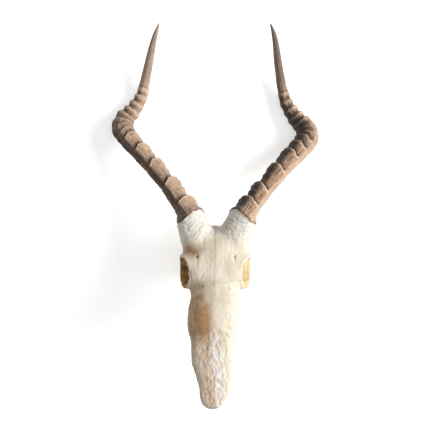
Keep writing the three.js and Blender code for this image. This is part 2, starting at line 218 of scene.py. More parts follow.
class Shader:
    """A material whose nodes are made by one method."""

    def __init__(self, name, roughness, specular=0.5):
        self.material = bpy.data.materials.new(name)
        self.material.use_nodes = True
        self.tree = self.material.node_tree
        self.surface = self.tree.nodes["Principled BSDF"]
        self.coat("Specular IOR Level", specular)
        self.coat("Roughness", roughness)

    def node(self, kind, settings, inputs, output=0):
        made = self.tree.nodes.new(kind)
        for name, value in settings.items():
            setattr(made, name, value)
        for name, value in inputs.items():
            self.feed(made.inputs[name], value)
        return Value(self, made.outputs[output])

    def feed(self, socket, value):
        if isinstance(value, Value):
            self.tree.links.new(value.socket, socket)
        elif hasattr(value, "__len__") and len(value) == 3 and socket.type == "RGBA":
            socket.default_value = (*value, 1)
        else:
            socket.default_value = value

    def coat(self, name, value):
        """Sets one input of the surface."""
        self.feed(self.surface.inputs[name], value)

    def attribute(self, name, vector=False):
        return self.node("ShaderNodeAttribute", {"attribute_name": name}, {}, "Vector" if vector else "Fac")

    def attributes(self, *names):
        return [self.attribute(name) for name in names]

    def noise(self, place, scale, detail=3.0, roughness=0.55, stretch=(1, 1, 1)):
        moved = place
        if stretch != (1, 1, 1):
            moved = self.node("ShaderNodeVectorMath", {"operation": "MULTIPLY"}, {0: place, 1: stretch})
        return self.node(
            "ShaderNodeTexNoise",
            {},
            {"Vector": moved, "Scale": scale, "Detail": detail, "Roughness": roughness},
            "Fac",
        )

    def mix(self, factor, first, second):
        return self.node(
            "ShaderNodeMix",
            {"data_type": "RGBA", "clamp_factor": True},
            {0: factor, 6: first, 7: second},
            2,
        )

    def layers(self, base, *layers):
        """Lays tints over a base one after the other, each with its own factor."""
        for factor, tint in layers:
            base = self.mix(factor, base, tint)
        return base

    def finish(self, colour_value, roughness, height, depth):
        """Colour, roughness, and a bump whose height is 0 to 1 over a depth in metres."""
        self.coat("Base Color", colour_value)
        self.coat("Roughness", roughness)
        bump = self.node("ShaderNodeBump", {}, {"Height": height, "Distance": depth, "Strength": 1.0})
        self.coat("Normal", bump)
        return self.material


# ---- mesh helpers ----------------------------------------------------------------------------

def smooth(low, high, x):
    """0 below low, 1 above high and smooth between; low may be the larger of the two."""
    t = np.clip((np.asarray(x, float) - low) / (high - low), 0, 1)
    return t * t * (3 - 2 * t)


def bump_at(x, centre, width):
    """A soft hill of height 1 at a centre."""
    return np.exp(-(((x - centre) / width) ** 2))


def noise_at(points, size, seed=0.0, octaves=1):
    """Perlin noise from about -1 to 1, with features of a given size in the points' own unit."""
    shift = Vector((seed * 7.31, seed * 3.17, seed * 5.71))
    scaled = points / size
    if octaves == 1:
        values = [noise.noise(Vector(p) + shift) for p in scaled]
    else:
        values = [noise.fractal(Vector(p) + shift, 0.9, 2.1, octaves) for p in scaled]
    return np.array(values)


def columns(*parts):
    """Puts lists of numbers side by side as points or vectors."""
    return np.stack(parts, 1)


def unit(vectors):
    return vectors / np.linalg.norm(vectors, axis=-1, keepdims=True)


def read(mesh, field):
    """The co or normal of each point."""
    flat = np.empty(len(mesh.vertices) * 3)
    mesh.vertices.foreach_get(field, flat)
    return flat.reshape(-1, 3)


def in_millimetres(mesh):
    """A mesh's points round the valley."""
    return (read(mesh, "co") - np.array(VALLEY)) / MM


def in_metres(points):
    """Points round the valley, in the scene."""
    return np.asarray(points, float) * MM + np.array(VALLEY)


def place(mesh, points):
    mesh.vertices.foreach_set("co", np.ascontiguousarray(points, float).ravel())
    mesh.update()


def store(mesh, numbers, vectors):
    """Stores named numbers and vectors for each point, for the material."""
    for name, values in numbers.items():
        made = mesh.attributes.new(name, "FLOAT", "POINT")
        made.data.foreach_set("value", np.asarray(values, np.float32))
    for name, values in vectors.items():
        made = mesh.attributes.new(name, "FLOAT_VECTOR", "POINT")
        made.data.foreach_set("vector", np.ascontiguousarray(values, np.float32).ravel())


def grid_faces(rows, count):
    """Quads between rows of points that close on themselves, and a fan at each end."""
    around = [(corner, (corner + 1) % count) for corner in range(count)]
    faces = []
    for start in range(0, (rows - 1) * count, count):
        above = start + count
        faces += [(start + a, start + b, above + b, above + a) for a, b in around]
    first, last, end = rows * count, rows * count + 1, (rows - 1) * count
    for a, b in around:
        faces += [(first, b, a), (last, end + a, end + b)]
    return faces


def new_object(name, data):
    made = bpy.data.objects.new(name, data)
    bpy.context.collection.objects.link(made)
    return made


def make_piece(name, points, faces, material, slot, *nodes):
    """A smooth mesh from points in millimetres round the valley, which stands for CAD nodes."""
    mesh = bpy.data.meshes.new(name)
    mesh.from_pydata(in_metres(points).tolist(), [], faces)
    mesh.validate()
    outward(mesh)
    adopt(new_object(name, mesh), material, slot, *nodes)
    return mesh


def outward(mesh):
    """Turns the faces outwards if the closed mesh is inside out."""
    mesh.calc_loop_triangles()
    corners = np.empty(len(mesh.loop_triangles) * 3, int)
    mesh.loop_triangles.foreach_get("vertices", corners)
    a, b, c = read(mesh, "co")[corners.reshape(-1, 3)].transpose(1, 0, 2)
    if np.einsum("ij,ij->", a, np.cross(b, c)) < 0:
        mesh.flip_normals()


def adopt(piece, material, slot, *nodes):
    """Gives a piece its material and the CAD nodes that it stands for; the slot is not used."""
    piece.data.materials.clear()
    piece.data.materials.append(material)
    piece.data.shade_smooth()
    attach(piece, "root")
    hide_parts(*nodes)


# ---- bone ------------------------------------------------------------------------------------

def tilted(points, angle):
    """Points turned round the X axis."""
    x, y, z = np.asarray(points, float).T
    cos, sin = math.cos(angle), math.sin(angle)
    return columns(x, cos * y - sin * z, sin * y + cos * z)


def to_face(points):
    """Points round the valley as x, distance along the face and height out of it."""
    return tilted(points, FACE_TILT)


def bone_blank(settings):
    """The skull's solid with its tooth sockets filled, as one even mesh."""
    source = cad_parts["skull"].data
    points = read(source, "co")
    faces = [tuple(polygon.vertices) for polygon in source.polygons]
    for _, side in SIDES:
        for index in range(len(TEETH)):
            plug, plug_faces = tooth_plug(side, index)
            base = len(points)
            points = np.vstack([points, in_metres(plug)])
            faces += [tuple(base + corner for corner in face) for face in plug_faces]
    mesh = bpy.data.meshes.new("skull_bone")
    mesh.from_pydata(points.tolist(), [], faces)
    piece = new_object("skull_bone", mesh)
    remesh = piece.modifiers.new("even", "REMESH")
    remesh.mode = "VOXEL"
    remesh.voxel_size = settings.grain
    evaluated = piece.evaluated_get(bpy.context.evaluated_depsgraph_get())
    even = bpy.data.meshes.new_from_object(evaluated)
    piece.modifiers.clear()
    piece.data = even
    bpy.data.meshes.remove(mesh)
    even.name = "skull_bone"
    return piece


class Neighbours:
    """The points that share an edge with each point, where either end of the edge has a weight."""

    def __init__(self, mesh, weights):
        ends = np.empty(len(mesh.edges) * 2, int)
        mesh.edges.foreach_get("vertices", ends)
        active = weights > 0.01
        one, two = ends.reshape(-1, 2).T
        keep = active[one] | active[two]
        self.one, self.two = one[keep], two[keep]
        self.share = np.maximum(self.total(np.ones(len(weights))), 1)

    def total(self, values):
        count = len(values)
        onto_one = np.bincount(self.one, values[self.two], count)
        return onto_one + np.bincount(self.two, values[self.one], count)

    def mean(self, points):
        return columns(*(self.total(points[:, axis]) / self.share for axis in range(3)))


def relax(mesh, weights, rounds):
    """Takes the facets out without shrinking, by smoothing one way and nearly as far back."""
    near = Neighbours(mesh, weights)
    points = read(mesh, "co")
    for turn in range(rounds):
        amount = 0.62 if turn % 2 == 0 else -0.60
        points += (near.mean(points) - points) * (amount * weights)[:, None]
    place(mesh, points)


def drape(mesh, weights, rounds):
    """Fills the creases between forms as a skin stretched over them would, and lowers nothing."""
    near = Neighbours(mesh, weights)
    points = read(mesh, "co")
    out = read(mesh, "normal")
    for turn in range(rounds):
        if turn % 25 == 24:
            place(mesh, points)
            out = read(mesh, "normal")
        lift = ((near.mean(points) - points) * out).sum(1)
        points += out * (np.maximum(lift, 0) * weights)[:, None]
    place(mesh, points)


def from_eye(face):
    """How far along and out of the face a place is from the eye's axis."""
    return face[:, 1] - EYE_CENTRE[0], face[:, 2] - EYE_CENTRE[1]


def eye_rim(face):
    """How far out a place is from the eye's axis, as a share of the socket's opening."""
    along, height = from_eye(face)
    return np.hypot(along / EYE_OPENING[0], height / EYE_OPENING[1])


def round_seats(points):
    """For each horn: its axis, its outer and front directions, and how far each point is along them."""
    for horn in HORNS.values():
        base = np.array(horn["centreline"][0], float)
        axis = unit(np.array(horn["centreline"][1]) - base)
        front = unit(np.array([0, 0, 1]) - axis * axis[2])
        outer = np.cross(axis, front)
        outer *= -np.sign(outer[0] * horn["medial"])
        yield axis, outer, front, *((points - base) @ way for way in (axis, outer, front))


def under_sheath(points):
    """1 inside a sheath, where the bone is never seen."""
    covered = np.zeros(len(points))
    for *_, reach, across, through in round_seats(points):
        covered = np.maximum(covered, smooth(-4, -1, reach) * (np.hypot(across, through) < 45))
    return covered


def lower_edge(facing):
    """How far from the seat a sheath begins, for each direction round it."""
    lobe = -4.0 * bump_at(facing, -10, 45) - 3.2 * bump_at(facing, 52, 28)
    lobe -= 5.2 * bump_at(facing, 98, 26) + 4.4 * bump_at(facing, 134, 16)
    from_outer = 180 - np.abs(np.mod(facing - 190, 360) - 180)
    return lobe + 6.5 * bump_at(from_outer, 0, 24)


def tuck_cores(points):
    """Slims the bone inside the sheaths, where it is never seen, so that none of it shows through."""
    moved = points.copy()
    for _, outer, front, reach, across, through in round_seats(points):
        radial = np.hypot(across, through)
        edge = lower_edge(np.degrees(np.arctan2(through, -across)))
        limit = np.where(through > -8, 30, 21)
        hidden = smooth(edge + 3, edge + 6, reach) * smooth(limit, limit - 3, radial)
        excess = np.maximum(radial - 12, 0) / np.maximum(radial, 1) * hidden
        moved -= np.outer(excess * across, outer) + np.outer(excess * through, front)
    return moved


def above_eye(face, out):
    """The upper surface of the brow, as opposed to the inside of the eye socket."""
    return smooth(-24, -17, face[:, 2]) * smooth(0.1, 0.4, out[:, 2])


def drape_weights(points, face, out):
    """Where the brow, the forehead and the pedicles flow into each other."""
    lateral = np.abs(face[:, 0])
    top = smooth(-34, -22, face[:, 2]) * smooth(-104, -92, face[:, 1])
    top = np.maximum(top, smooth(-56, -44, face[:, 2]) * smooth(-34, -22, points[:, 1]))
    clear_of_eye = np.maximum(smooth(1.04, 1.14, eye_rim(face)), smooth(13, 11, lateral))
    clear_of_eye = np.maximum(clear_of_eye, above_eye(face, out))
    return top * clear_of_eye * (1 - under_sheath(points))


def blend_weights(points, face, out):
    """Everywhere but inside the eye sockets, the sheaths and the passages of the nose."""
    socket = smooth(1.1, 1.0, eye_rim(face)) * smooth(12, 16, np.abs(face[:, 0]))
    return 0.8 * (1 - socket * (1 - above_eye(face, out))) * (1 - under_sheath(points))


def gum_weights(face):
    """The outer wall above the tooth rows."""
    rows = smooth(-164, -156, face[:, 1]) * smooth(-60, -72, face[:, 1])
    return rows * smooth(-28, -36, face[:, 2]) * smooth(13, 22, np.abs(face[:, 0]))


def shape_brows(points, out):
    """Widens the forehead into a shelf over each eye, and draws the top of the eye's rim inwards."""
    face = to_face(points)
    lateral = np.abs(face[:, 0])
    rim = eye_rim(face)
    along, height = face[:, 1], face[:, 2]
    over_eye = smooth(-90, -76, along) * smooth(-30, -42, along) * smooth(14, 22, lateral)
    fall_sideways = 0.012 * np.maximum(lateral - 20, 0) ** 2
    fall_endways = 0.006 * np.maximum(np.abs(from_eye(face)[0]) - 8, 0) ** 2
    outside = np.maximum(smooth(1.08, 1.2, rim) * smooth(-26, -14, height), above_eye(face, out))
    raise_by = np.maximum(-2.2 - fall_sideways - fall_endways - height, 0) * over_eye * outside
    face[:, 2] += raise_by * 0.9
    top = smooth(-30, -14, face[:, 2]) * smooth(1.5, 1.25, rim) * smooth(30, 38, lateral)
    ragged = 1.0 + 0.8 * noise_at(face, 6, 18, 2)
    face[:, 0] -= np.where(face[:, 0] < 0, -2.6, 1.0) * top * ragged
    return tilted(face, -FACE_TILT)


def lift_shoulders(points):
    """Raises the outer shoulder of each pedicle up beside its sheath."""
    moved = points.copy()
    for axis, outer, _, reach, across, through in round_seats(points):
        turn = np.degrees(np.arctan2(through, across))
        radial = np.hypot(across, through)
        wall = smooth(13.2, 15.5, radial) * smooth(29, 24, radial)
        rise = bump_at(turn, 8, 30) * smooth(-16, -1, reach) * (reach < 6) * wall
        moved += np.outer(rise, axis * 5.5 + outer * 0.2)
    return moved


def seams(u, v, paths, width):
    """1 along lines through the points of each path, and falling off to either side of them."""
    lines = 0
    for path in paths:
        nearest = np.full(len(u), 1e9)
        for (u0, v0), (u1, v1) in zip(path, path[1:]):
            du, dv = u1 - u0, v1 - v0
            t = np.clip(((u - u0) * du + (v - v0) * dv) / (du * du + dv * dv), 0, 1)
            nearest = np.minimum(nearest, np.hypot(u - u0 - t * du, v - v0 - t * dv))
        lines = lines + bump_at(nearest, 0, width)
    return lines


def nerve_holes(u, v, holes):
    """1 in round holes, each given by its centre and radius."""
    return sum(smooth(r + 0.8, r - 0.8, np.hypot(u - a, v - b)) for a, b, r in holes)


def spots(x, y, table):
    """Soft oval spots, each given by its centre, its sizes, its lean and its strength."""
    total = np.zeros(len(x))
    for (centre_x, centre_y), (width, height), lean, strength in table:
        across = (x - centre_x + lean * (y - centre_y)) / width
        total += strength * bump_at(np.hypot(across, (y - centre_y) / height), 0, 1)
    return total


BROW_SEAMS = (
    ((-2, -40), (-6, -49), (-10, -56), (-16, -64), (-21, -73)),
    ((-35, -54), (-31, -61), (-27, -71), (-23, -79)),
    ((-39, -57), (-34, -67), (-33, -77)),
)
CHEEK_SEAMS = (
    ((-79, -21), (-90, -16), (-104, -18), (-117, -13), (-131, -20)),
    ((-77, -41), (-90, -37), (-104, -45), (-113, -43), (-124, -52)),
    ((-38, -62), (-27, -56), (-15, -63), (-9, -78)),
)
PALATE_SEAMS = (((0, -150), (0, -78)), ((-16, -93), (-8, -97), (0, -94), (8, -97), (16, -93)))
CHEEK_HOLES = ((-131, -35, 2.6), (-84, -27, 1.8))
PALATE_HOLES = ((-8.5, -99, 1.7), (8.5, -99, 1.7))
BROW_HOLES = ((-26, 22), (27, 9))  # how far out each is, and the length of the groove below it
BROW_HOLE_Y = -41
CORNER_PITS = (((-18.3, -81), (1.5, 1.5), 0, 1), ((-23.5, -79), (1.3, 1.3), 0, 0.5))

# Spots of colour on the face: centre, sizes, lean and strength.
BLOTCHED_STAINS = (
    ((-20.42, -119), (15, 33), 0.08, 0.805),
    ((-15.2, -119), (9, 30), 0.14, 0.69),
    ((-27, -126), (16, 48), 0, 0.322),
    ((-34, -32), (13.5, 9), 0, 1.1),
)
PLAIN_STAINS = (
    ((-26, -41.5), (4, 4), 0, 0.4),
    ((-19, -81), (3.6, 3.6), 0, 0.4),
    ((0, -24), (9, 15.3), 0, 0.26),
    ((36, -33), (9, 9), 0, 0.156),
    # The next spot, on the inner side of the right pedicle, is partly painted shade.
    ((17, 2), (10, 12.5), 0, 0.36),
    ((25.6, -183), (2.6, 2.6), 0, 0.9),
)
# Painted shade in the valley between the pedicles.
CROWN_SHADE_SPOT = (((0, -2), (5.5, 5.5 / 0.7), 0, 1),)
# A white patch on the muzzle, partly painted highlight.
WHITE_BLAZE_AND_SHEEN = (((0.82, -162), (7, 32), 0.06, 1), ((6, -200), (6, 20), 0, 0.8))
RUDDY_TISSUE = (((-9, -169), (7, 17), 0, 1), ((-4, -208), (9, 13), 0, 1))


class Carving:
    """Sculpts the bone's surface region by region, and gathers the masks that colour it."""

    def __init__(self, mesh, settings):
        self.mesh = mesh
        self.settings = settings
        self.points = in_millimetres(mesh)
        self.face = to_face(self.points)
        self.out = read(mesh, "normal")
        self.shift = np.zeros(len(self.points))
        self.lateral = np.abs(self.face[:, 0])
        self.upward = smooth(0.05, 0.55, self.out[:, 2])
        self.front = smooth(-60, -30, self.face[:, 2])
        x, y, z = self.points.T
        self.pedicle = smooth(-19, -5, y + 0.25 * self.lateral) * smooth(-60, -40, z) * self.front
        self.muzzle_edge = -135 - 0.030 * (x - 3) ** 2
        softness = 6 + 0.4 * np.clip(-18 - self.face[:, 2], 0, 40)
        torn_edge = (self.muzzle_edge - y - 7 * noise_at(self.points, 9, 1, 2)) / softness
        self.muzzle = smooth(-1, 1, torn_edge) * self.front
        self.masks = {"pedicle": self.pedicle, "under": smooth(-25, -60, self.face[:, 2])}

    def forehead(self):
        """The suture between the frontals, the brow holes and their grooves, and thin cracks."""
        x, y, _ = self.points.T
        level = self.points * (0, 1, 0)
        wander = 2.2 * noise_at(level, 12, 2) + 1.3 * noise_at(level, 3.1, 3)
        suture = bump_at(x + 0.3 - 0.038 * y, wander, 0.75) * smooth(-92, -78, y) * smooth(-8, -16, y)
        dent = 0.45 * suture
        for hole_x, reach in BROW_HOLES:
            bend = hole_x + 0.8 * noise_at(level, 14, 4)
            run = smooth(-42 - reach, -46, y) * smooth(-38, -43, y)
            dish = np.hypot(x - hole_x, y - BROW_HOLE_Y)
            dent += 0.9 * bump_at(x, bend, 1.3) * run
            dent += 0.8 * bump_at(dish, 0, 3.6) + 3.2 * smooth(2.3, 0.9, dish)
        pits = spots(x, y, CORNER_PITS)
        strayed = self.points + 1.1 * noise_at(self.points, 5, 35, 2)[:, None]
        cracks = np.clip(seams(strayed[:, 0], strayed[:, 1], BROW_SEAMS, 0.75), 0, 1)
        cracks *= 0.7 + 0.5 * noise_at(self.points, 7, 36)
        self.shift -= (dent + 1.3 * pits + 0.45 * cracks) * self.upward
        seam_line = suture * (0.6 + 0.4 * smooth(-66, -40, y))
        # Darker sutures and cracks, and painted shade in the pits.
        self.masks["groove"] = (seam_line + 0.9 * pits + 0.75 * cracks) * self.upward
        # The frontals swell a little towards the midline.
        plain = smooth(-100, -84, y) * (1 - self.pedicle) * self.upward
        self.shift += 0.9 * bump_at(x, 0, 10) * plain * smooth(-20, -45, y)

    def joints(self):
        """The joints between the other bones and the holes for nerves."""
        fx, fy, fz = self.face.T
        out_x = self.out[:, 0]
        jitter = 1.3 * noise_at(self.face, 4.5, 31, 2)
        outside = smooth(0.35, 0.6, np.abs(out_x)) * smooth(12, 16, self.lateral)
        outside *= np.sign(out_x) == np.sign(fx)
        down = smooth(0.3, 0.6, -to_face(self.out)[:, 2]) * smooth(19, 16, self.lateral)
        joints = seams(fy + jitter, fz + jitter, CHEEK_SEAMS, 0.9) * outside
        joints += seams(fx + jitter, fy, PALATE_SEAMS, 0.8) * down
        holes = nerve_holes(fy, fz, CHEEK_HOLES) * outside + nerve_holes(fx, fy, PALATE_HOLES) * down
        joints, holes = np.clip(joints, 0, 1), np.clip(holes, 0, 1)
        self.shift -= 0.4 * joints + 2.2 * holes
        # Darker joints, and painted shade in the nerve holes.
        groove = self.masks["groove"] + 0.8 * joints + 1.4 * holes
        self.masks["groove"] = np.clip(groove, 0, 1)

    def dried_skin(self):
        """Wrinkles on the pedicles, folds across the bridge of the nose, and rippled cheeks."""
        x, y, z = self.points.T
        along_horn = 0.55 * self.lateral + 0.83 * y
        across_horn = 0.83 * x - 0.55 * y * np.sign(x)
        self.skin = columns(across_horn * 0.42, along_horn, z * 0.4)
        self.skin += 1.6 * noise_at(self.points, 8, 6)[:, None]
        crease = 0.55 - 1.6 * np.abs(noise_at(self.skin, 4.6, 5, 2)) + 0.5 * noise_at(self.skin, 2.4, 15)
        lump = 0.5 * noise_at(self.points, 9, 16)
        self.shift += self.pedicle * (self.settings.wrinkles / MM * crease + lump)
        bridge = smooth(-70, -76, y) * smooth(-116, -94, y) * smooth(-16, 4, x) * self.upward
        bent = y + 0.10 * x + 1.6 * noise_at(self.points, 12, 21)
        fold = 0.4 - 1.5 * np.abs(noise_at(columns(x * 0.12, bent, z * 0), 3.6, 7))
        cheek = smooth(-95, -110, y) * (1 - self.muzzle) * self.upward
        ripple = noise_at(columns(x * 0.35, y * 0.8 + 0.25 * x, z * 0.2), 5.5, 8, 2)
        self.shift += 1.25 * bridge * fold + 0.85 * cheek * ripple
        self.masks["bridge"] = bridge

    def torn_muzzle(self):
        """Torn, fibrous, dried tissue that closes the muzzle and starts at a low step."""
        x, y, _ = self.points.T
        fx, fy, fz = self.face.T
        drift = 3.0 * noise_at(self.face, 14, 19)
        self.strands = noise_at(columns(fx + drift, fy * 0.24, fz * 0.7), 2.4, 9, 3)
        flakes = noise_at(columns(fx * 0.9 + drift, fy * 0.5 + 0.25 * fx, fz), 4.2, 10, 3)
        hollows = np.abs(noise_at(columns(fx + drift, fy * 0.3, fz), 8, 20))
        middle = self.muzzle * (0.5 + 0.5 * bump_at(x, -4, 16))
        torn = 1.1 * np.abs(self.strands) + flakes - 0.8 * smooth(0.14, 0, hollows) - 0.3
        step = bump_at(y - self.muzzle_edge, 2.0, 2.6) * self.front * smooth(0.15, 0.5, self.out[:, 2])
        self.shift += middle * self.settings.fibres / MM * torn + 0.7 * step
        # A white patch, whitened further on the raised flakes as a painted highlight.
        blaze = spots(x, y, WHITE_BLAZE_AND_SHEEN) * (0.7 + 0.9 * flakes)
        ruddy = spots(x, y, RUDDY_TISSUE) * (0.8 + 0.8 * noise_at(self.points, 5, 32, 2))
        self.masks["muzzle"] = middle
        self.masks["blaze"] = np.clip(blaze, 0, 1) * self.muzzle
        self.masks["ruddy"] = np.clip(ruddy, 0, 1) * self.muzzle

    def sockets(self):
        """Masks for the eye sockets: painted shade in the left one, painted light in the right one, and the
        shadow deeper inside.
        """
        fx, _, fz = self.face.T
        out_z = self.out[:, 2]
        orbit = eye_rim(self.face) - 0.34 * smooth(-22, -34, fz) * smooth(0.0, 0.35, out_z)
        orbit += 0.04 * noise_at(self.points, 3.5, 17)
        inside = smooth(1.04, 0.94, orbit) * smooth(12, 16, self.lateral)
        deep = inside * smooth(0.995, 0.94, np.abs(out_z) * (fz > -20))
        self.masks["socket_left"] = inside * (fx < 0)
        self.masks["socket_right"] = inside * (fx > 0)
        self.masks["depth"] = inside * smooth(36, 17, self.lateral)
        # Painted shade deep in the sockets and between the muzzle's strands.
        self.masks["hollow"] = np.clip(0.35 * deep - 0.8 * self.strands * self.muzzle, 0, 1)

    def stains(self):
        x, y, _ = self.points.T
        fx, fy, fz = self.face.T
        blotch = 0.88 + 0.38 * noise_at(self.points, 13, 12)
        blotch += 0.35 * noise_at(columns(fx, fy * 0.3, fz), 3.4, 33, 2)
        # Painted shade down the left side of the face, which turns from the light.
        left_flank_shade = smooth(0.5, 0.9, -self.out[:, 0]) * smooth(-70, -84, y)
        stain = spots(x, y, BLOTCHED_STAINS) * blotch + spots(x, y, PLAIN_STAINS)
        stain += 0.42 * left_flank_shade * (0.85 + 0.3 * noise_at(self.face, 9, 34))
        self.masks["stain"] = np.clip(stain * smooth(-70, -30, fz), 0, 1)
        # Painted shade in the valley between the pedicles.
        self.masks["crown"] = spots(x, y, CROWN_SHADE_SPOT) * smooth(6, 0, y)

    def finish(self):
        """Moves the points, with fine unevenness everywhere, and stores the masks."""
        self.shift += 0.22 * noise_at(self.points, 4.2, 11, 2)
        carved = read(self.mesh, "co") + self.out * (self.shift * MM)[:, None]
        carved[:, 2] = np.maximum(carved[:, 2], 0)
        place(self.mesh, carved)
        store(self.mesh, self.masks, {"face": self.face * MM, "skin": self.skin * MM})


def carve_bone(mesh, settings):
    carving = Carving(mesh, settings)
    carving.forehead()
    carving.joints()
    carving.dried_skin()
    carving.torn_muzzle()
    carving.sockets()
    carving.stains()
    carving.finish()


BONE_BUMP = 0.0005

# Fixed tints of the bone.
YELLOWED = (0.66, 0.53, 0.36)
FOLD_SHADE = (0.50, 0.48, 0.43)
SKIN_PATCH = (0.60, 0.55, 0.46)
PINK_TISSUE = (0.56, 0.38, 0.26)
PALE_FIBRE = (0.80, 0.79, 0.76)
DARK_FIBRE = (0.44, 0.31, 0.20)
RUDDY = (0.50, 0.31, 0.19)
# A white patch on the muzzle, partly painted highlight.
BLAZE_AND_SHEEN = (0.86, 0.86, 0.85)
# Painted shade in the creases across the bridge of the nose.
BRIDGE_CREASE_SHADE = (0.50, 0.42, 0.31)
# Painted shade deep in the sockets and between the muzzle's strands.
HOLLOW_SHADE = (0.36, 0.24, 0.15)
GROOVE = (0.30, 0.20, 0.11)
UNDERSIDE = (0.48, 0.36, 0.22)
# Shaded and lit copies of the sockets' bone: painted shade on the left, painted light on the right.
SHADED_SOCKET_BLOT = (0.16, 0.070, 0.018)
LIT_SOCKET_BLOT = (0.70, 0.50, 0.23)
SOCKET_SHADOW = (0.16, 0.09, 0.035)
# Painted shade in the valley between the pedicles.
CROWN_SHADE = (0.27, 0.21, 0.15)


def bone_material(settings):
    shader = Shader("bleached_bone", 0.72, 0.35)
    face = shader.attribute("face", vector=True)
    skin = shader.attribute("skin", vector=True)
    muzzle, pedicle, bridge = shader.attributes("muzzle", "pedicle", "bridge")
    cloud = shader.noise(face, 38, 4)
    speckle = shader.noise(face, 900, 2)
    streak = shader.noise(face, 260, 4, 0.6, (1, 0.14, 0.6))
    fibre = shader.noise(face, 620, 4, 0.65, (1, 0.11, 0.7))
    pink = shader.noise(face, 62, 3, 0.6, (1, 0.4, 1)).ramp(0.45, 0.62)
    across = shader.noise(face, 420, 3, 0.6, (0.14, 1, 0.3))
    blot = shader.noise(face, 160, 4).ramp(0.35, 0.7)
    folds = shader.noise(skin, 300, 4, 0.6, (0.7, 1, 0.7))
    patches = shader.noise(skin, 130, 3)
    white = settings.white
    base = shader.layers(
        settings.cream,
        (cloud.ramp(0.35, 0.72) * 0.42, YELLOWED),
        (streak.ramp(0.46, 0.72) * 0.35, white),
        (pedicle * (0.36 + 0.7 * cloud), white),
        (pedicle * folds.ramp(0.5, 0.3) * 0.55, FOLD_SHADE),
        (pedicle * patches.ramp(0.52, 0.36) * 0.4, SKIN_PATCH),
        (muzzle * pink * 0.6, PINK_TISSUE),
        (muzzle * fibre.ramp(0.54, 0.66) * 0.65, PALE_FIBRE),
        (muzzle * fibre.ramp(0.46, 0.34) * 0.4, DARK_FIBRE),
        (shader.attribute("ruddy") * 0.6, RUDDY),
        # A white patch on the muzzle, whitened further on the raised flakes as a painted highlight.
        (shader.attribute("blaze") * 0.9, BLAZE_AND_SHEEN),
        # Painted shade in the creases across the bridge of the nose.
        (bridge * across.ramp(0.47, 0.36) * 0.5, BRIDGE_CREASE_SHADE),
        # Painted shade deep in the sockets and between the muzzle's strands.
        (shader.attribute("hollow") * 0.7, HOLLOW_SHADE),
        # Brown stain, with painted shade down the left flank and on the inner side of the right pedicle.
        (shader.attribute("stain"), settings.stain),
        # Darker sutures, joints and cracks, and painted shade in the pits and nerve holes.
        (shader.attribute("groove") * 0.42, GROOVE),
        (shader.attribute("under") * (0.25 + 0.5 * cloud), UNDERSIDE),
        # Painted shade in the left socket, painted light in the right.
        (shader.attribute("socket_left"), shader.mix(blot, settings.shaded_socket, SHADED_SOCKET_BLOT)),
        (shader.attribute("socket_right"), shader.mix(blot, settings.lit_socket, LIT_SOCKET_BLOT)),
        (shader.attribute("depth") * 0.75, SOCKET_SHADOW),
        # Painted shade in the valley between the pedicles.
        (shader.attribute("crown") * 0.75, CROWN_SHADE),
    )
    rough = 0.62 + 0.25 * speckle - 0.22 * pedicle - 0.12 * muzzle
    height = 0.35 * speckle + 0.7 * streak + muzzle * fibre * 2.2 + 0.5 * cloud
    height = height + pedicle * folds * 4.0 + bridge * across * 4.0
    return shader.finish(base, rough, height, BONE_BUMP)


class SKULL_OT_bone(bpy.types.Operator):
    """Makes the bleached skull with its sutures, wrinkles and dried muzzle"""

    bl_idname = "skull.bone"
    bl_label = "Bone"

    def execute(self, context):
        settings = context.scene.skull_bone
        piece = bone_blank(settings)
        mesh = piece.data
        points = in_millimetres(mesh)
        face = to_face(points)
        near_eye = bump_at(np.hypot(*from_eye(face)), 0, 24) * smooth(34, 40, np.abs(face[:, 0]))
        near_teeth = smooth(-30, -45, face[:, 2]) * smooth(-70, -78, face[:, 1])
        calm = np.clip(1 - 0.75 * near_eye - 0.5 * near_teeth, 0.15, 1)
        relax(mesh, calm, 50)
        outward(mesh)
        drape(mesh, drape_weights(points, face, read(mesh, "normal")), 420)
        points = shape_brows(lift_shoulders(in_millimetres(mesh)), read(mesh, "normal"))
        place(mesh, in_metres(points))
        face = to_face(points)
        drape(mesh, drape_weights(points, face, read(mesh, "normal")), 220)
        drape(mesh, gum_weights(face), 170)
        drape(mesh, blend_weights(points, face, read(mesh, "normal")), 45)
        relax(mesh, calm, 12)
        place(mesh, in_metres(tuck_cores(in_millimetres(mesh))))
        carve_bone(mesh, settings)
        adopt(piece, bone_material(settings), "bone", "skull")
        return {"FINISHED"}


# ---- horns -----------------------------------------------------------------------------------

def spline(points, per_segment=60):
    """A centripetal Catmull-Rom curve through points: its points, and their place in the list."""
    points = np.asarray(points, float)
    padded = np.vstack([2 * points[0] - points[1], points, 2 * points[-1] - points[-2]])
    curve, index = [], []
    for i in range(len(points) - 1):
        p0, p1, p2, p3 = padded[i : i + 4]
        d0, d1, d2 = (math.sqrt(np.linalg.norm(b - a)) for a, b in ((p0, p1), (p1, p2), (p2, p3)))
        out = ((p1 - p0) / d0 - (p2 - p0) / (d0 + d1) + (p2 - p1) / d1) * d1
        into = ((p2 - p1) / d1 - (p3 - p1) / (d1 + d2) + (p3 - p2) / d2) * d1
        t = np.linspace(0, 1, per_segment, endpoint=False)[:, None]
        curve.append(
            (2 * t**3 - 3 * t**2 + 1) * p1
            + (t**3 - 2 * t**2 + t) * out
            + (3 * t**2 - 2 * t**3) * p2
            + (t**3 - t**2) * into
        )
        index.append(i + t[:, 0])
    curve.append(points[-1:])
    index.append([len(points) - 1])
    return np.vstack(curve), np.concatenate(index)


def unrolled(turn, distance, radius, stretch):
    """Places round and along a horn, for noise that closes on itself."""
    return columns(np.cos(turn) * radius, np.sin(turn) * radius, distance * stretch)


def on_section(spot, turn, across, through):
    """Points round the sections of a horn, by a sideways and a front-to-back radius."""
    centre, _, side, front, _ = spot
    return centre + side * (np.cos(turn) * across)[:, None] + front * (np.sin(turn) * through)[:, None]


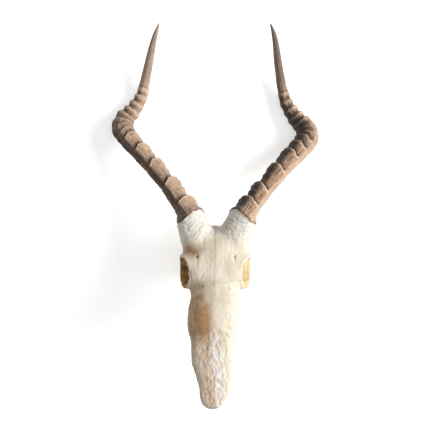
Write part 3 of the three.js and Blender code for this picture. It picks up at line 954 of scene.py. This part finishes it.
class Sheath:
    """One horn: its curve, and the place, rings, relief and masks of each point of its outer face."""

    def __init__(self, horn, settings):
        self.horn = horn
        self.settings = settings
        self.curve, self.index = spline(horn["centreline"])
        steps = np.linalg.norm(np.diff(self.curve, axis=0), axis=1)
        self.travel = np.concatenate([[0], np.cumsum(steps)])
        self.length = self.travel[-1]

        # Rows of points from a ragged lower edge to the tip; facing is 0 at the inner side, 90 in front.
        self.angle = np.linspace(0, 2 * math.pi, settings.sides, endpoint=False)
        facing = np.degrees(np.arctan2(np.sin(self.angle), -np.cos(self.angle) * horn["medial"]))
        around = unrolled(self.angle, self.angle, 9, 0)
        ragged = 1.7 * noise_at(around, 3.2, 21, 3) + 1.1 * noise_at(around, 1.1, 22)
        edge = ragged + lower_edge(facing)
        share = np.linspace(0, 1, settings.steps)[:, None]
        rows = edge * (1 - share) ** 12 + share * (self.length - 0.6)
        self.distance = rows.ravel()
        self.past_edge = (rows - edge).ravel()
        self.facing = np.tile(facing, settings.steps)
        self.turn = np.tile(self.angle, settings.steps)
        self.spot = self.at(self.distance)

    def along(self, distance):
        return columns(*(np.interp(distance, self.travel, self.curve[:, axis]) for axis in range(3)))

    def at(self, distance):
        """The centre, the tangent, the side and front directions and the radius at each distance."""
        on_curve = np.clip(distance, 0, self.length)
        ahead = self.along(np.minimum(on_curve + 1.5, self.length))
        tangent = unit(ahead - self.along(np.maximum(on_curve - 1.5, 0)))
        centre = self.along(on_curve) + tangent * (distance - on_curve)[:, None]
        front = unit(np.array([0, 0, 1.0]) - tangent * tangent[:, 2:])
        index = np.interp(distance, self.travel, self.index)
        radius = np.interp(index, range(len(self.horn["radii"])), self.horn["radii"])
        return centre, tangent, np.cross(front, tangent), front, radius

    def ring_height(self, rim):
        """How far a ring stands proud, by the distance of the rim that it starts from."""
        height = self.settings.rim_height / MM * np.minimum(1, 1.15 - rim / RIM_FADE)
        return np.maximum(height, 0)

    def rings(self, distance):
        """Height of the overlapping rings, and how close each place is to a rim or its undercut."""
        rims = np.array([0.0, *self.horn["rims"], self.length + 60])
        after = np.clip(np.searchsorted(rims, distance), 1, len(rims) - 1)
        before, following = rims[after - 1], rims[after]
        ringed = after < len(rims) - 1
        height = self.ring_height(before) * ringed
        past = self.ring_height(rims[np.maximum(after - 2, 0)]) * (after > 1)
        since = distance - before
        rise = np.clip(since / (following - before), 0, 1)
        upper = smooth(*ELBOW, distance)

        # Below the elbow each ring is a cup with a lip; past it, rounded knobs.
        cup = -0.42 + 1.42 * rise**1.5
        lip = smooth(1.0, 0.96, rise) * 0.1 + 0.9
        drop = smooth(1.1, 0.0, since)
        lower_form = height * cup * lip * (1 - drop) + past * 0.92 * drop
        rounded = 0.5 - 0.5 * np.cos(2 * np.pi * rise**1.35)
        knob = (2.5 + 1.2 * smooth(196, 216, distance)) * smooth(292, 222, distance) * ringed
        form = lower_form * (1 - upper) + knob * (rounded**0.8 - 0.35) * upper
        rim = bump_at(distance, following, 1.6) * (height > 0)
        # The undercut mask is painted shade: in the recess above each lip and, past the elbow, in the
        # valleys between the knobs.
        undercut = bump_at(since, 3.6, 3.4 + 1.2 * (since > 3.6)) * (past > 0)
        rim = rim * (1 - upper) + 0.6 * smooth(0.6, 1.0, rounded) * ringed * upper
        undercut = undercut * (1 - upper) + 0.8 * smooth(0.34, 0.0, rounded) * ringed * upper

        # Two minor rings in each cup, on the inner side only.
        minor = smooth(0.34, 0.47, rise) * smooth(0.56, 0.49, rise)
        minor += smooth(0.66, 0.78, rise) * smooth(0.87, 0.80, rise)
        form += 0.42 * height * minor * (1 - upper) * bump_at(self.facing, -12, 48)
        return form, rim, undercut, upper, rise

    def relief(self):
        """Height of the rings, the grooves and the lumps of old horn."""
        distance, facing, turn = self.distance, self.facing, self.turn
        wrap, radius = self.horn["wrap"], self.spot[-1]
        wobble = 1.6 * noise_at(unrolled(turn, distance, 2.2, 0.02), 1.0, 23 + self.horn["medial"])
        wobble += 0.55 * noise_at(unrolled(turn, distance, 9, 0.05), 1.0, 24)
        sag = 5.0 * smooth(60, 100, facing) + 1.5 * smooth(20, -50, facing)
        past_elbow = smooth(*ELBOW, distance)
        self.keep = smooth(4, 14, distance)
        wander = (wobble * (1 - 0.6 * past_elbow) + sag * (1 - past_elbow)) * self.keep
        form, self.rim, self.undercut, self.upper, self.rise = self.rings(distance + wander)
        lower = 1 - self.upper
        stray = 7 * noise_at(columns(distance, distance * 0, turn * 0), 9, 25)
        self.cover = ring_cover(facing + stray, self.upper, wrap)
        self.strip = (1 - ring_cover(facing, 0, wrap)) * (1 - self.upper * 0.7)
        self.tip = smooth(265, 300, distance)
        relief = form * self.cover * self.keep
        relief += 0.9 * bump_at(facing, wrap - 9, 9) * self.rim * lower**2
        relief -= 0.5 * smooth(0.3, 0.9, self.strip) * smooth(6, 20, distance) * lower
        self.groove = noise_at(unrolled(turn, distance, 8, 0.035), 1.0, 26, 3)
        fine = noise_at(unrolled(turn, distance, 21, 0.055), 1.0, 27)
        depth = self.settings.striation / MM * (1 - 0.75 * self.tip)
        relief += depth * (self.groove * (0.9 + 1.5 * self.strip) + 0.7 * fine)
        lump = noise_at(on_section(self.spot, turn, radius, radius), 7, 28, 2)
        relief += 0.45 * lump * (1 - 0.85 * self.tip)
        return np.clip(relief, -0.45 * radius, None) * smooth(-2, 3, radius)

    def masks(self):
        """Numbers for the material, each with its value in the socket over the core."""
        distance, facing, strip, upper = self.distance, self.facing, self.strip, self.upper
        shade_and_grime, pale = self.horn["shade_and_grime"], self.horn["pale"]
        # Painted shade on the inner side, the inside of the elbow, the outer side of the bend and the
        # lateral strip, where they turn from the light, and a darker tip.
        inner_side = smooth(86, 46, np.abs(facing + 5)) * (1 - smooth(235, 300, distance))
        elbow_side = bump_at(distance, 205, 31) * smooth(122, 70, np.abs(facing - 15))
        from_outer = np.abs(np.mod(facing - 15, 360) - 180)
        bend_side = bump_at(distance, 178, 38) * smooth(80, 35, from_outer)
        shade_and_dirt = shade_and_grime["inner"] * inner_side + shade_and_grime["outer"] * strip + shade_and_grime["elbow"] * elbow_side
        shade_and_dirt += shade_and_grime["tip"] * smooth(262, 290, distance) + shade_and_grime["bend"] * bend_side
        # Paler horn, partly wear and partly painted light on the faces turned to the light.
        worn = (pale["low"] * (1 - strip) + pale["strip"] * strip) * (1 - upper)
        worn += pale["upper"] * upper * (1 - self.tip) + pale["tip"] * self.tip
        # A painted glint at the outer corner of each rim.
        rim_glint = 1 + 0.7 * bump_at(facing, self.horn["wrap"] - 8, 14) * (1 - upper)
        return {
            "rim": (self.rim * self.cover * self.keep * rim_glint, 0),
            "undercut": (self.undercut * self.cover**2, 1),
            "strip": (strip * self.horn["bare"], 0),
            "travel": (distance / self.length, 0),
            "base": (smooth(4.5, 0, self.past_edge), 1),
            "groove": (self.groove, 0),
            "shade_and_grime": (np.clip(shade_and_dirt, 0, 1), 0),
            "worn": (worn, 0),
            "cup": (self.rise * self.cover * (1 - 0.5 * upper) * self.keep, 0),
        }


def ring_cover(facing, upper, wrap):
    """The rings cover the front and inner faces low down, and go nearly all round past the elbow."""
    low = 0.1 + 0.9 * smooth(wrap + 10, wrap - 10, facing) * smooth(-115, -70, facing)
    high = np.clip(0.64 + 0.42 * np.cos(np.radians(facing - 140)), 0.4, 1)
    return low * (1 - upper) + high * upper


def hug_bone(outer, centre, facing, near, sides):
    """Keeps the lower edge of a sheath just outside the bone that it grows over."""
    bone = bpy.data.objects["skull_bone"].data
    bone.calc_loop_triangles()
    corners = [tuple(triangle.vertices) for triangle in bone.loop_triangles]
    surface = BVHTree.FromPolygons(in_millimetres(bone).tolist(), corners)
    away = outer - centre
    reach = np.linalg.norm(away, axis=1)
    away /= reach[:, None]
    needed = np.zeros(len(outer))
    for index in np.nonzero(near)[0]:
        middle, direction = Vector(centre[index]), Vector(away[index])
        hit = surface.ray_cast(middle + direction * 28, -direction, 28)
        if hit[0] is not None:
            needed[index] = (hit[0] - middle).length + 0.5
    # The highest bone within a few points counts, and the sheath slopes gently down from it.
    grid = needed.reshape(-1, sides)
    highest = grid
    for along in range(-2, 3):
        for around in range(-2, 3):
            highest = np.maximum(highest, np.roll(grid, (along, around), (0, 1)))
    from_back = np.abs(np.mod(facing + 275, 360) - 180)
    room = 1 + 9 * smooth(45, 80, from_back)
    growth = (np.clip(highest.ravel() - reach, 0, room) * near).reshape(-1, sides)
    for _ in range(24):
        growth = np.maximum(growth, np.roll(growth, 1, 0) - 0.32)
    return outer + away * growth.reshape(-1, 1)


def build_sheath(name, horn, settings, material):
    sheath = Sheath(horn, settings)
    sides = settings.sides
    relief = sheath.relief()
    centre, tangent, _, _, radius = sheath.spot
    outer = on_section(sheath.spot, sheath.turn, radius + relief, radius * HORN_OVAL + relief)
    outer = hug_bone(outer, centre, sheath.facing, sheath.distance < 26, sides)
    # A lip leans over the undercut beyond it.
    lean = 1.3 * sheath.rim * sheath.cover * (1 - sheath.upper) * sheath.keep
    outer += tangent * lean[:, None]

    # The socket over the bony core, and the thin lower edge that joins it to the outer face.
    inner = []
    for share in (1.0, 0.66, 0.33, 0.0):
        reach = CORE_RADIUS[0] + (CORE_RADIUS[1] - CORE_RADIUS[0]) * share + CORE_GAP
        spot = sheath.at(np.full(sides, share * CORE_LENGTH))
        inner.append(on_section(spot, sheath.angle, reach, reach * HORN_OVAL))
    inner.append((inner[-1] + outer[:sides]) / 2)
    points = np.vstack([*inner, outer, inner[0].mean(0), outer[-sides:].mean(0)])
    points[:, 2] = np.maximum(points[:, 2], GROUND_GAP - REST_DEPTH)
    faces = grid_faces(len(inner) + settings.steps, sides)
    mesh = make_piece(name + "_sheath", points, faces, material, "horn", name)

    lead = len(inner) * sides
    numbers = {}
    for mask, (values, rest) in sheath.masks().items():
        numbers[mask] = np.concatenate([np.full(lead, rest), values, [rest, values[-1]]])
    streaks = unrolled(sheath.turn, sheath.distance, radius, 1)
    streaks = np.vstack([np.zeros((lead, 3)), streaks, np.zeros((2, 3))])
    store(mesh, numbers, {"streaks": streaks * MM})


HORN_BUMP = 0.0012

# Fixed tints of the horn.
RED_HORN = (0.29, 0.172, 0.105)
CUP_HORN = (0.66, 0.435, 0.26)
BAND_HORN = (0.19, 0.11, 0.072)
PALE_STRAND = (0.66, 0.45, 0.295)
DARK_STRAND = (0.095, 0.052, 0.033)
PALE_HAIR = (0.68, 0.49, 0.36)
DARK_HAIR = (0.07, 0.040, 0.026)
DARK_FLECK = (0.10, 0.055, 0.034)
PALE_FLECK = (0.72, 0.57, 0.45)
# Paler horn, partly wear and partly painted light on the faces turned to the light.
WORN_AND_LIT_HORN = (0.72, 0.545, 0.40)
# Painted shade on the faces turned from the light, and a darker tip.
SHADE_AND_GRIME = (0.030, 0.018, 0.012)
# Painted shade in the undercuts.
UNDERCUT_SHADE = (0.060, 0.034, 0.022)
SHEATH_EDGE = (0.05, 0.03, 0.02)


def horn_material(settings):
    shader = Shader("ringed_horn", 0.55, 0.4)
    streaks = shader.attribute("streaks", vector=True)
    strip, rim, undercut, groove = shader.attributes("strip", "rim", "undercut", "groove")
    worn, shade_and_grime, cup = shader.attributes("worn", "shade_and_grime", "cup")
    fibre = shader.noise(streaks, 900, 4, 0.6, (1, 1, 0.07))
    strand = shader.noise(streaks, 430, 3, 0.6, (1, 1, 0.1))
    band = shader.noise(streaks, 180, 3, 0.6, (1, 1, 0.2))
    fleck = shader.noise(streaks, 520, 3, 0.65, (1, 1, 0.55))
    cloud = shader.noise(streaks, 60, 3)
    tip = shader.attribute("travel").ramp(0.68, 0.86)
    # The lateral strip is darkened, partly as old dark horn and partly, most on the left horn, as painted
    # shade.
    old = strip * (0.62 + 0.38 * (1 - groove).ramp(0.75, 1.15)) * (1 - tip)
    base = shader.layers(
        settings.light,
        (cloud.ramp(0.3, 0.75), RED_HORN),
        (cup**3 * 0.7, CUP_HORN),
        (band.ramp(0.52, 0.34) * 0.55, BAND_HORN),
        (strand.ramp(0.54, 0.66) * 0.6, PALE_STRAND),
        (strand.ramp(0.47, 0.34) * 0.85, DARK_STRAND),
        (fibre.ramp(0.55, 0.68) * 0.6, PALE_HAIR),
        (fibre.ramp(0.46, 0.34) * 0.78, DARK_HAIR),
        (fleck.ramp(0.46, 0.35) * 0.75, DARK_FLECK),
        (fleck.ramp(0.57, 0.68) * 0.55, PALE_FLECK),
        (tip * 0.7, settings.tip),
        (old * 0.42, settings.dark),
        # Paler horn, partly wear and partly painted light on the faces turned to the light.
        (worn * (0.7 + 0.6 * band), WORN_AND_LIT_HORN),
        # Painted shade on the faces turned from the light, and a darker tip.
        (shade_and_grime * (0.72 + 0.55 * band), SHADE_AND_GRIME),
        # Pale worn rims, with a painted glint at their outer corners.
        (rim * (0.88 - 0.55 * shade_and_grime) * (1 - undercut), settings.rim),
        # Painted shade in the recess above each lip.
        (undercut * 0.95, UNDERCUT_SHADE),
        (shader.attribute("base") * 0.6, SHEATH_EDGE),
    )
    rough = 0.46 + 0.22 * fibre + 0.1 * undercut
    height = 0.8 * fibre + 1.6 * strand + 0.8 * band
    return shader.finish(base, rough, height, HORN_BUMP)


class SKULL_OT_horns(bpy.types.Operator):
    """Makes the two ringed horn sheaths on their bony cores"""

    bl_idname = "skull.horns"
    bl_label = "Horns"

    def execute(self, context):
        settings = context.scene.skull_horns
        material = horn_material(settings)
        for name, horn in HORNS.items():
            build_sheath(name, horn, settings, material)
        return {"FINISHED"}


# ---- teeth -----------------------------------------------------------------------------------

def tooth_place(side, index):
    """Centre on the gum line, the three directions and the half sizes of a tooth."""
    mirror = np.array([side, 1, 1])
    front, back = tilted([TOOTH_ROW["front"] * mirror, TOOTH_ROW["back"] * mirror], -FACE_TILT)
    row = np.linalg.norm(back - front)
    forward = (back - front) / row
    cheekward = np.array([side, 0.0, 0.0])
    cheekward = unit(cheekward - forward * cheekward.dot(forward))
    down = np.cross(forward, cheekward)
    down *= -np.sign(down[2])
    lengths = [size[0] for size in TEETH]
    scale = row / sum(lengths)
    centre = front + forward * (sum(lengths[:index]) + lengths[index] / 2) * scale
    return centre, forward, cheekward, down, lengths[index] * scale / 2, TEETH[index][1] / 2


def tooth_plug(side, index):
    """A block that fills a socket up to just under the gum line."""
    centre, forward, cheekward, down, half_length, half_width = tooth_place(side, index)
    along, across = forward * (half_length + 0.4), cheekward * (half_width + 0.2)
    levels = (-TOOTH_ROOT - 1.5, -0.2)
    corners = np.array([centre + along * a + across * b + down * z for z in levels for a, b in SQUARE])
    faces = [(0, 1, 2, 3), (7, 6, 5, 4), (0, 4, 5, 1), (1, 5, 6, 2), (2, 6, 7, 3), (3, 7, 4, 0)]
    a, b, c = corners[:3]
    inward = np.dot(np.cross(b - a, c - a), corners.mean(0) - a) > 0
    return corners, [face[::-1] for face in faces] if inward else faces


def tooth_outline(turn, molar):
    """Distance from a tooth's middle: ribs on the cheek side, two rounded lobes on the other."""
    square = 1 / np.maximum(np.abs(np.cos(turn)), np.abs(np.sin(turn))) ** 0.62
    cheek_side = smooth(-0.1, 0.5, np.sin(turn))
    ribs = 0.055 * np.cos(7 * (turn - math.pi / 2)) * cheek_side
    lobes = -0.16 * molar * bump_at(turn, 1.5 * math.pi, 0.22)
    waist = -0.07 * molar * bump_at(turn, 0.5 * math.pi, 0.14)
    return square * (1 + ribs + lobes + waist)


def build_tooth(name, side, index, settings, material):
    """Rows up the root and the crown, then inwards over the chewing face."""
    centre, forward, cheekward, down, half_length, half_width = tooth_place(side, index)
    crown = TEETH[index][2]
    lobes = 2 if index > 2 else 1
    turn = np.linspace(0, 2 * math.pi, TOOTH_SIDES, endpoint=False)
    outline = tooth_outline(turn, lobes - 1)
    rows = [(-TOOTH_ROOT, 0.6), (-TOOTH_ROOT * 0.5, 0.72), (-0.5, 0.80), (0.4, 0.86)]
    for rise in np.linspace(0.15, 0.94, 12):
        rows.append((crown * rise, 0.87 + 0.12 * math.sin(math.pi * min(1, rise * 0.75))))
    rows += [(None, share) for share in np.linspace(0.93, 0.06, 15)]
    points, heights = [], []
    for level, share in rows:
        a = np.cos(turn) * np.minimum(share * outline, 1.0) * (half_length - 0.2)
        b = np.sin(turn) * share * outline * half_width * 0.9
        if level is None:
            level = crown + chewing_face(a / half_length, b / half_width, lobes) * settings.ridge / MM
        level = np.full(TOOTH_SIDES, level)
        points.append(centre + np.outer(a, forward) + np.outer(b, cheekward) + np.outer(level, down))
        heights.append(level)
    points = np.vstack([*points, points[0].mean(0), points[-1].mean(0)])
    faces = grid_faces(len(rows), TOOTH_SIDES)
    mesh = make_piece(name + "_crown", points, faces, material, "enamel", name)
    level = np.concatenate([*heights, [-TOOTH_ROOT, crown]]) / crown
    shares = np.concatenate([np.repeat([share for _, share in rows], TOOTH_SIDES), [0.6, 0]])
    pit = np.clip(1 - level, 0, 1) * (shares < 0.93) * (level > 0.5) * 6
    store(mesh, {"pit": np.clip(pit, 0, 1), "height": np.clip(level, 0, 1.2)}, {})


def chewing_face(a, b, lobes):
    """Height of the crescent ridges, from -1 in the pits to 0.3 on the ridges."""
    height = np.full_like(a, -0.35)
    for lobe in range(lobes):
        middle = 0.0 if lobes == 1 else -0.48 + 0.96 * lobe
        width = 0.62 if lobes == 1 else 0.36
        u, v = (a - middle) / width, b / 0.62
        ring = np.hypot(u, v)
        height = np.maximum(height, -0.35 + 0.65 * bump_at(ring, 0.98, 0.22))
        height -= 0.9 * bump_at(np.hypot(u, (v - 0.15 + 0.5 * u * u) * 2.4), 0, 0.5)
    return height


TOOTH_BUMP = 0.00015
YELLOW_ENAMEL = (0.52, 0.38, 0.20)
GUM_STAIN = (0.30, 0.18, 0.08)


def tooth_material(settings):
    shader = Shader("stained_enamel", 0.32, 0.5)
    place_on = shader.node("ShaderNodeTexCoord", {}, {}, "Object")
    cloud = shader.noise(place_on, 260, 3)
    fine = shader.noise(place_on, 1400, 2)
    base = shader.layers(
        settings.enamel,
        (cloud.ramp(0.4, 0.7) * 0.5, YELLOW_ENAMEL),
        ((1 - shader.attribute("height")).ramp(0.55, 1.0) * 0.7, GUM_STAIN),
        (shader.attribute("pit"), settings.tartar),
    )
    return shader.finish(base, 0.26 + 0.3 * cloud, fine + cloud, TOOTH_BUMP)


class SKULL_OT_teeth(bpy.types.Operator):
    """Makes the six upper cheek teeth of each side"""

    bl_idname = "skull.teeth"
    bl_label = "Cheek Teeth"

    def execute(self, context):
        settings = context.scene.skull_teeth
        material = tooth_material(settings)
        for side_name, side in SIDES:
            for index in range(len(TEETH)):
                build_tooth(f"{side_name}_tooth_{index + 1}", side, index, settings, material)
        return {"FINISHED"}


# ---- stage -----------------------------------------------------------------------------------

FLOOR_HALF = 15.0
FLOOR_LEVEL = -0.0005
KEY_AT = (1.95, 0.35, 1.2)
TOP_AT = (0.15, -0.2, 1.5)
TOP_SHARE = 0.085  # of the key light's power
LIGHT_SIZE = 1.2
CAMERA_SHIFT = (0.0009, 0.0158)
SENSOR_WIDTH = 36


def light(name, place_at, target, power, tint):
    lamp = bpy.data.lights.new(name, "AREA")
    lamp.size = LIGHT_SIZE
    lamp.energy = power
    lamp.color = tint
    holder = new_object(name, lamp)
    holder.location = place_at
    holder.rotation_euler = (Vector(target) - Vector(place_at)).to_track_quat("-Z", "Y").to_euler()


class SKULL_OT_stage(bpy.types.Operator):
    """Makes the pale floor, the soft studio lights and the camera straight above the face"""

    bl_idname = "skull.stage"
    bl_label = "Stage"

    def execute(self, context):
        settings = context.scene.skull_stage
        corners = [(x * FLOOR_HALF, y * FLOOR_HALF, 0) for x, y in SQUARE]
        mesh = bpy.data.meshes.new("floor")
        mesh.from_pydata(corners, [], [(0, 1, 2, 3)])
        floor = new_object("floor", mesh)
        floor.location.z = FLOOR_LEVEL
        shader = Shader("pale_floor", 0.9, 0.0)
        shader.coat("Base Color", settings.floor)
        shader.coat("Emission Color", settings.floor)
        shader.coat("Emission Strength", settings.glow)
        mesh.materials.append(shader.material)

        world = bpy.data.worlds.new("studio")
        world.use_nodes = True
        background = world.node_tree.nodes["Background"]
        background.inputs["Color"].default_value = (1, 1, 1, 1)
        background.inputs["Strength"].default_value = settings.fill
        context.scene.world = world
        target = VALLEY + Vector((0, 0, -0.05))
        light("key", KEY_AT, target, settings.key, (1, 0.985, 0.96))
        light("top", TOP_AT, target, settings.key * TOP_SHARE, (1, 1, 1))

        data = bpy.data.cameras.new("camera")
        data.sensor_width = SENSOR_WIDTH
        data.lens = SENSOR_WIDTH * settings.camera_height / settings.view_width
        camera = new_object("camera", data)
        camera.location = VALLEY + Vector((*CAMERA_SHIFT, settings.camera_height))
        context.scene.camera = camera
        context.scene.view_settings.view_transform = "Standard"
        return {"FINISHED"}


# ---- panel and running -----------------------------------------------------------------------

OPERATORS = (SKULL_OT_stage, SKULL_OT_bone, SKULL_OT_horns, SKULL_OT_teeth)


class SKULL_PT_panel(bpy.types.Panel):
    """Lists the pieces of the skull"""

    bl_idname = "SKULL_PT_panel"
    bl_label = "Impala Skull"
    bl_space_type = "VIEW_3D"
    bl_region_type = "UI"
    bl_category = "Skull"

    def draw(self, context):
        for operator in OPERATORS:
            self.layout.operator(operator.bl_idname)
        for name in SETTINGS:
            box = self.layout.box()
            group = getattr(context.scene, name)
            for field in group.bl_rna.properties:
                if not field.is_readonly and field.identifier != "name":
                    box.prop(group, field.identifier)


SETTINGS = {
    "skull_bone": BoneSettings,
    "skull_horns": HornSettings,
    "skull_teeth": ToothSettings,
    "skull_stage": StageSettings,
}
CLASSES = (*SETTINGS.values(), *OPERATORS, SKULL_PT_panel)


def register():
    for made in CLASSES:
        bpy.utils.register_class(made)
    for name, group in SETTINGS.items():
        setattr(bpy.types.Scene, name, PointerProperty(type=group))


def unregister():
    for name in SETTINGS:
        delattr(bpy.types.Scene, name)
    for made in reversed(CLASSES):
        bpy.utils.unregister_class(made)


def main():
    register()
    bpy.ops.skull.stage()
    bpy.ops.skull.bone()
    bpy.ops.skull.horns()
    bpy.ops.skull.teeth()


if __name__ == "__main__":
    main()
